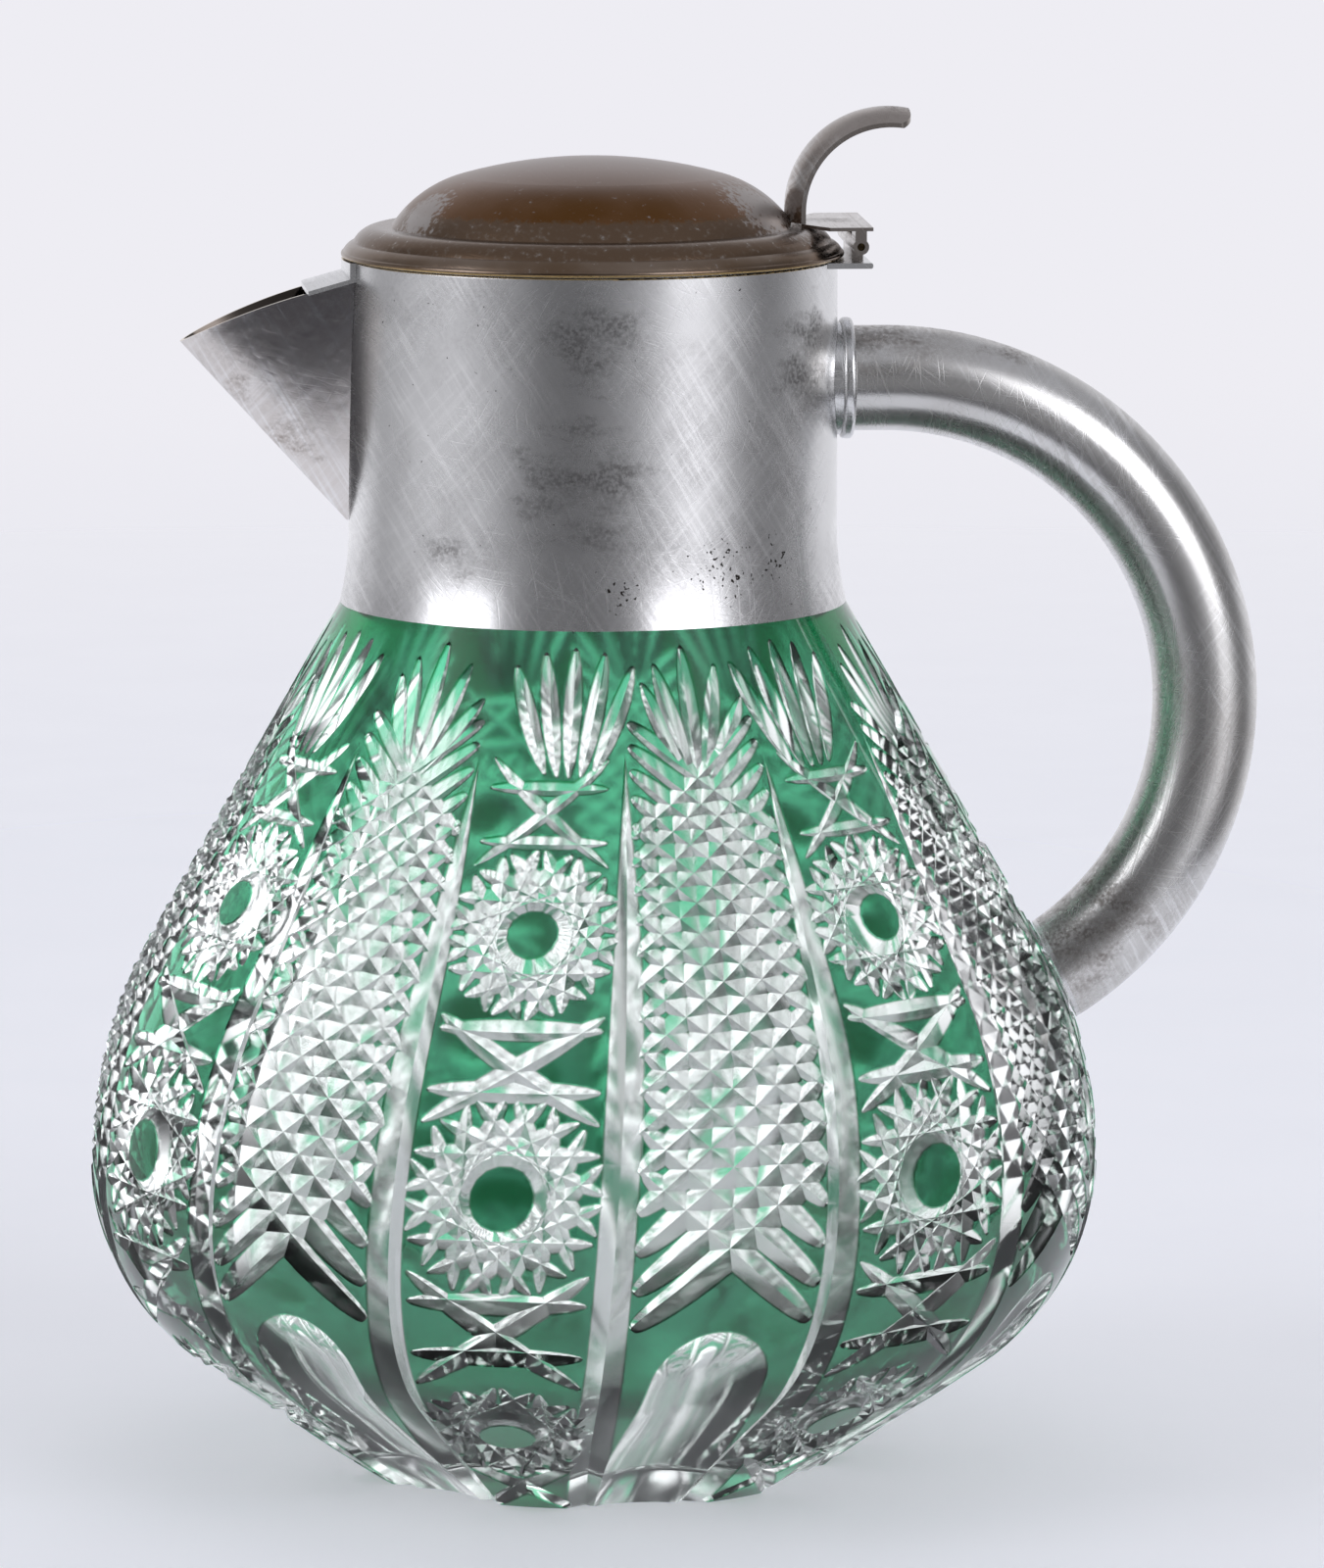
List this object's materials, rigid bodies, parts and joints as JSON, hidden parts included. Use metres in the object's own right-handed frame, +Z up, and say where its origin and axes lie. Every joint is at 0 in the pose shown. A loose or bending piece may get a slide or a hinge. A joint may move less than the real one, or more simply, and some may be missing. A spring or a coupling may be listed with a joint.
{
  "type": "hinged-lid cut crystal jug",
  "caption": "Cut cased-crystal jug, round bellied, with a silver-plated collar, pointed spout, tubular loop handle and a hinged domed lid with a thumb lever.",
  "frame": {"origin": "centre of the foot's underside, where the jug stands", "axes": "+Z up the jug's axis, +X towards the handle, -X towards the spout, +Y across"},
  "size_m": [0.2308, 0.1988, 0.2684],
  "materials": {
    "cased_crystal": "polished, green casing cut through to clear",
    "silver_plate": "worn satin silver plate",
    "tarnished_plate": "brown tarnished silver plate",
    "hinge_brass": "dark brass",
    "plaster": "matte plaster"
  },
  "bodies": {
    "jug": {"crystal_body": "cased_crystal", "plaster_bed": "plaster", "neck_collar": "silver_plate", "spout_shell": "silver_plate", "spout_bridge": "silver_plate", "handle_socket": "silver_plate", "handle_ferrule": "silver_plate", "handle_tube": "silver_plate", "handle_end_cap": "silver_plate", "collar_hinge_leaf": "silver_plate", "collar_hinge_knuckle": "silver_plate", "hinge_pin": "hinge_brass"},
    "lid": {"lid_rim": "tarnished_plate", "lid_dome": "tarnished_plate", "lid_bezel": "silver_plate", "lid_hinge_leaf": "silver_plate", "lid_knuckle_front": "silver_plate", "lid_knuckle_back": "silver_plate", "thumb_lever": "silver_plate"}
  },
  "joints": [
    {"name": "lid_hinge", "type": "hinge", "parent": "jug", "child": "lid", "pos_m": [0.05104, 0, 0.24237], "axis": [0, 1, 0], "range_deg": [0, 95]}
  ]
}
